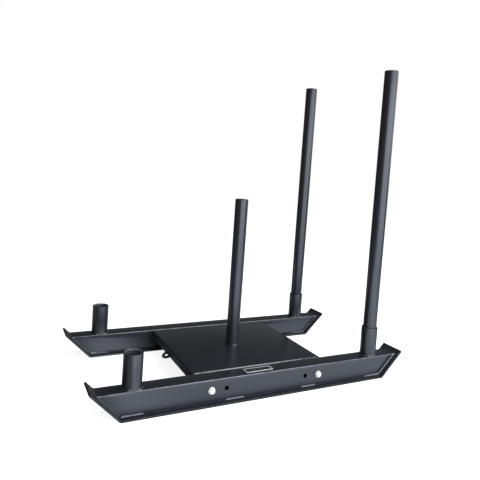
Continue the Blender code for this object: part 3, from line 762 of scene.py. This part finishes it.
class SLED_OT_welds(bpy.types.Operator):
    """Weld beads under the powder coat"""

    bl_idname = "sled.welds"
    bl_label = "Welds"

    def execute(self, context):
        sizes = context.scene.sled_sizes
        self.sleeve_rings(sizes)
        self.horn_ring(sizes)
        self.stitches(sizes)
        self.end_seams(sizes)
        return {"FINISHED"}

    def sleeve_rings(self, sizes):
        """Fillets round the sleeves: the lower toe follows the tube's top and its rounded corners,
        and stays within its sides."""
        leg, corner = sizes.fillet_leg, sizes.tube_edge
        limit, lift, sunk = TUBE_HALF - 0.0012, 0.0001, 0.001
        ring = turned([(1, 0)], full_turn(288))[0]
        for spot in CORNERS:
            centre, size = size_of(f"{spot}_sleeve")
            outside = size[0] / 2
            foot = np.array([centre[0], centre[1], TUBE_TOP_Z])
            toe = foot + ring * (outside + leg)
            toe[:, 1] = np.clip(toe[:, 1], foot[1] - limit, foot[1] + limit)
            # how far the toe hangs over the rounded corner: a quarter circle of its radius
            over = np.clip(np.abs(toe[:, 1] - foot[1]) - (TUBE_HALF - corner), 0, corner)
            toe[:, 2] = TUBE_TOP_Z - (corner - np.sqrt(corner ** 2 - over ** 2)) + lift
            path = foot + ring * outside
            path[:, 2] = TUBE_TOP_Z - sunk
            upper = foot + ring * (outside + lift) + np.array([0, 0, leg])
            bead(f"{spot}_sleeve_weld", path, UP, ring, (leg, leg), sizes, closed=True,
                 toes=(upper, toe), calm=1.8)

    def horn_ring(self, sizes):
        centre, size = size_of("weight_horn")
        ring = turned([(1, 0)], full_turn(240))[0]
        foot = np.array([centre[0], centre[1], centre[2] - size[2] / 2])
        bead("horn_weld", foot + ring * size[0] / 2, UP, ring, (sizes.horn_leg, sizes.horn_leg),
             sizes, closed=True, calm=0.3)

    def stitches(self, sizes):
        """Short fillets between each runner's lower corners and its skid plate, fuller where they
        run into the weld of the mitred end: the swell falls as e^(-distance / run)."""
        mitre_x = TUBE_SIZE[0] / 2 - (TUBE_TOP_Z - TUBE_BASE_Z)
        spans = ((0.424, 0.503), (0.086, 0.159), (-0.202, -0.137), (-0.503, -0.425))
        step, sunk = 0.0005, 0.0008
        for side_name, side in SIDES.items():
            for face_name, facing in (("outer", side), ("inner", -side)):
                y = side * RUNNER_Y + facing * (TUBE_HALF - sunk)
                for count, (start, stop) in enumerate(spans, 1):
                    x = np.arange(start, stop, step)
                    path = np.stack([x, np.full_like(x, y), np.full_like(x, TUBE_BASE_Z)], -1)
                    swell = np.exp(-np.abs(np.abs(x) - mitre_x) / sizes.swell_run)
                    bead(f"{side_name}_{face_name}_stitch_{count}", path, UP, (0, facing, 0),
                         (sizes.stitch_height + sizes.swell_height * swell,
                          sizes.stitch_reach * (1 + swell)), sizes, knee=(0.35, 0.95), calm=0.6)

    def end_seams(self, sizes):
        """Thin beads where the tubes' mitred ends stand on the upturned plates: up one side, over
        the top and down the other. Each point lies the corner's radius away from the line through
        the corner centres, tilted from straight up by its angle."""
        above_skid, r = 0.003, sizes.tube_edge
        low, high, inner = TUBE_BASE_Z + above_skid, TUBE_TOP_Z - r, TUBE_HALF - r
        bend = np.linspace(0, np.pi / 2, 12)[1:-1]
        up, across, arc = 60, 50, len(bend)
        tilt = np.concatenate([np.full(up, -np.pi / 2), bend - np.pi / 2, np.zeros(across), bend,
                               np.full(up, np.pi / 2)])
        y = np.concatenate([np.full(up + arc, -inner), np.linspace(-inner, inner, across),
                            np.full(up + arc, inner)]) + r * np.sin(tilt)
        z = np.concatenate([np.linspace(low, high, up), np.full(across + 2 * arc, high),
                            np.linspace(high, low, up)]) + r * np.cos(tilt)
        for spot, (side, end) in CORNERS.items():
            # the plate's inner face leans outwards at 45 degrees from the fold
            x = end * (FOLD_X - SKID_THICK / math.sin(math.pi / 4) + z)
            path = np.stack([x, side * RUNNER_Y + y, z], -1)
            # the plate side's toe runs out over the plate, square to the tube's own face
            lean = np.array([end, 0, 1]) / math.sqrt(2)
            over = np.stack([0 * tilt, np.sin(tilt), 0 * tilt], -1) + lean * np.cos(tilt)[:, None]
            bead(f"{spot}_end_weld", path, (-end, 0, 0), over, (sizes.seam_leg, sizes.seam_leg),
                 sizes)


# ---- studio ----

def add_levels(tree, known, rows):
    """Adds the nodes that work out a light's level and returns the last one's socket. A row holds
    its result's name, a sum's operation or RAMP, and its terms: numbers or names of known results.
    A ramp's terms are what it runs along, where it starts and ends there, and its two levels."""
    for name, operation, *terms in rows:
        inputs = {at: known.get(term, term) for at, term in enumerate(terms)}
        if operation == "RAMP":
            made = add_node(tree, "ShaderNodeMapRange", inputs)
        else:
            made = add_node(tree, "ShaderNodeMath", inputs, operation=operation)
        known[name] = made.outputs[0]
    return known[name]


class SLED_OT_stage(bpy.types.Operator):
    """Floor, backdrop, softboxes and camera"""

    bl_idname = "sled.stage"
    bl_label = "Stage"

    def execute(self, context):
        scene = context.scene
        stage = scene.sled_stage
        self.floor(scene.sled_colours.floor)
        self.world(stage)
        # the key's two parts stand above each other, the lower one dimmer, so that the uprights
        # fade downwards
        key_tint = (0.83, 0.9, 1.0)
        self.softbox("key_upper", (-0.55, 2.9, 1.575), (5.3, 1.25), 0.64 * stage.key_power,
                     key_tint)
        self.softbox("key_lower", (-0.55, 2.9, 0.42), (5.3, 1.05), 0.36 * stage.key_power,
                     key_tint)
        self.softbox("side", (-3.0, 0.8, 1.7), (2.0, 1.6), stage.side_power, (0.95, 0.97, 1.0))
        self.softbox("overhead", (-1.0, 0.5, 2.7), (3.2, 1.2), stage.overhead_power,
                     (0.98, 0.98, 1.0))
        self.camera(scene, stage)
        scene.view_settings.view_transform = "Standard"
        return {"FINISHED"}

    def floor(self, shade):
        """White floor: it adds the background's white for what looks at it, and takes the
        shadow. In gloss it glows with a painted pool of light, cut off by painted shade."""
        work = bmesh.new()
        bmesh.ops.create_circle(work, cap_ends=True, segments=96, radius=9)
        mesh = bpy.data.meshes.new("studio_floor")
        work.to_mesh(mesh)
        work.free()
        material, tree, shader = new_finish("matt_white_floor", shade, 0.9)
        shader.inputs["Specular IOR Level"].default_value = 0
        known = {ray.name: ray for ray in add_node(tree, "ShaderNodeLightPath").outputs}
        place = add_node(tree, "ShaderNodeTexCoord").outputs["Object"]
        axes = add_node(tree, "ShaderNodeSeparateXYZ", {0: place}).outputs
        known.update(x=axes["X"], y=axes["Y"])
        for name, middle in (("away", (0, 0, 0)), ("aside", (-0.3, 0.5, 0))):
            known[name] = add_node(tree, "ShaderNodeVectorMath", {0: place, 1: middle},
                                   operation="DISTANCE").outputs["Value"]
        cuts = ("front_painted_shade", "rear_painted_shade", "ahead", "out", "shadow", "Is Glossy Ray")
        level = add_levels(tree, known, (
            # seen straight or through glass: nearly white by the sled, white further out
            ("straight", "MAXIMUM", "Is Camera Ray", "Is Transmission Ray"),
            ("plain", "RAMP", "away", 1.0, 3.0, 0.86, 1.0),
            ("straight", "MULTIPLY", "straight", "plain"),
            # seen in gloss: a painted pool of light that the floor glows with beside the sled,
            # fading into the dark studio
            ("pool", "RAMP", "aside", 1.4, 3.0, 1.9, 0.4),
            # painted shade cuts it off ahead of the sled, at a slant further out, and behind it
            ("slant", "SUBTRACT", "y", 0.5),
            ("slant", "MAXIMUM", "slant", 0.0),
            ("slant", "MULTIPLY_ADD", "slant", -0.4, "x"),
            ("front_painted_shade", "RAMP", "slant", 0.46, 0.54, 1.0, 0.22),
            ("rear_painted_shade", "RAMP", "x", -1.2, -0.7, 0.45, 1.0),
            # the painted light is brightest ahead of the middle, and further out, under the softbox
            ("ahead", "RAMP", "x", 0.25, 0.4, 1.0, 1.35),
            ("out", "RAMP", "y", 0.6, 0.85, 1.0, 1.75),
            # painted shadow: the near runner's is painted from its outer side to the middle, and
            # the deck's over the rest, a little past its ends
            ("near", "RAMP", "y", 0.298, 0.35, 0.03, 1.0),
            ("far", "RAMP", "y", -0.03, 0.02, 1.0, 0.03),
            ("ends", "ABSOLUTE", "x"),
            ("ends", "RAMP", "ends", 0.22, 0.36, 0.03, 1.0),
            ("far", "MULTIPLY", "far", "ends"),
            ("shadow", "MAXIMUM", "near", "far"),
            *(("pool", "MULTIPLY", "pool", cut) for cut in cuts),
            ("level", "MAXIMUM", "straight", "pool")))
        tree.links.new(level, shader.inputs["Emission Strength"])
        # in gloss the painted pool is all that the floor gives, so that the painted shade cuts it
        # off cleanly
        for name, straight, gloss in (("Base Color", shade, (0, 0, 0)),
                                      ("Emission Color", (1, 1, 1), (0.8, 0.88, 1.0))):
            tint = add_node(tree, "ShaderNodeMix", {0: known["Is Glossy Ray"], 6: (*straight, 1),
                                                    7: (*gloss, 1)}, data_type="RGBA")
            tree.links.new(tint.outputs[2], shader.inputs[name])
        mesh.materials.append(material)
        made = bpy.data.objects.new("studio_floor", mesh)
        bpy.context.scene.collection.objects.link(made)

    def world(self, stage):
        """White where it is looked at, a dim studio in gloss and an even grey for what it
        lights."""
        world = bpy.data.worlds.new("studio")
        bpy.context.scene.world = world
        world.use_nodes = True
        tree = world.node_tree
        background = tree.nodes["Background"]
        background.inputs["Color"].default_value = (1, 1, 1, 1)
        known = {ray.name: ray for ray in add_node(tree, "ShaderNodeLightPath").outputs}
        direction = add_node(tree, "ShaderNodeTexCoord").outputs["Generated"]
        known["height"] = add_node(tree, "ShaderNodeSeparateXYZ", {0: direction}).outputs["Z"]
        level = add_levels(tree, known, (
            ("seen", "MAXIMUM", "Is Camera Ray", "Is Transmission Ray"),
            # the studio's walls are lighter near the floor
            ("walls", "RAMP", "height", 0.15, 0.42, 4 * stage.studio_gloss, stage.studio_gloss),
            ("walls", "MULTIPLY", "Is Glossy Ray", "walls"),
            ("lit", "MULTIPLY", "Is Diffuse Ray", stage.ambient),
            ("level", "MAXIMUM", "seen", "walls"),
            ("level", "MAXIMUM", "level", "lit")))
        tree.links.new(level, background.inputs["Strength"])

    def softbox(self, name, place, size, power, tint):
        """A rectangular area lamp aimed at the middle of the sled, its width kept level."""
        middle = Vector((0, 0, 0.25))
        lamp = bpy.data.lights.new(name, "AREA")
        lamp.shape = "RECTANGLE"
        lamp.size, lamp.size_y = size
        lamp.energy = power
        lamp.color = tint
        made = bpy.data.objects.new(name, lamp)
        made.location = place
        made.rotation_euler = (middle - Vector(place)).to_track_quat("-Z", "Y").to_euler()
        bpy.context.scene.collection.objects.link(made)

    def camera(self, scene, stage):
        """The photograph's viewpoint: its place, yaw, pitch and roll, and the picture's own
        vertical shift, 35 of its 480 rows."""
        place = (0.84090, 1.62797, 0.73528)
        yaw, pitch, roll = (math.radians(angle) for angle in (-117.133, -3.497, 3.935))
        ahead = Vector((math.cos(pitch) * math.cos(yaw), math.cos(pitch) * math.sin(yaw),
                        math.sin(pitch)))
        right = ahead.cross(Vector(UP)).normalized()
        up = right.cross(ahead)
        side = math.cos(roll) * right + math.sin(roll) * up
        over = math.cos(roll) * up - math.sin(roll) * right
        lens = bpy.data.cameras.new("camera")
        lens.sensor_width = 36
        lens.lens = stage.lens
        lens.shift_y = -35 / 480
        made = bpy.data.objects.new("camera", lens)
        turn = Matrix((side, over, -ahead)).transposed()
        made.matrix_world = Matrix.Translation(place) @ turn.to_4x4()
        scene.collection.objects.link(made)
        scene.camera = made


class SLED_PT_panel(bpy.types.Panel):
    """Lists the sled's pieces and settings"""

    bl_idname = "SLED_PT_panel"
    bl_label = "Weight sled"
    bl_space_type = "VIEW_3D"
    bl_region_type = "UI"
    bl_category = "Sled"

    def draw(self, context):
        for kind in OPERATORS:
            self.layout.operator(kind.bl_idname)
        for name in GROUPS:
            group = getattr(context.scene, name)
            box = self.layout.box()
            for setting in group.__annotations__:
                box.prop(group, setting)


OPERATORS = (SLED_OT_runners, SLED_OT_deck, SLED_OT_uprights, SLED_OT_caps, SLED_OT_tow_loop,
             SLED_OT_fasteners, SLED_OT_nameplate, SLED_OT_welds, SLED_OT_stage)
GROUPS = {"sled_sizes": SledSizes, "sled_colours": SledColours, "sled_stage": SledStage}


def register():
    for kind in (*GROUPS.values(), *OPERATORS, SLED_PT_panel):
        bpy.utils.register_class(kind)
    for name, group in GROUPS.items():
        setattr(bpy.types.Scene, name, bpy.props.PointerProperty(type=group))


def unregister():
    for name in GROUPS:
        delattr(bpy.types.Scene, name)
    for kind in (SLED_PT_panel, *OPERATORS[::-1], *GROUPS.values()):
        bpy.utils.unregister_class(kind)


def main():
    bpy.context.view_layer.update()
    register()
    for kind in OPERATORS:
        group, name = kind.bl_idname.split(".")
        getattr(getattr(bpy.ops, group), name)()


if __name__ == "__main__":
    main()
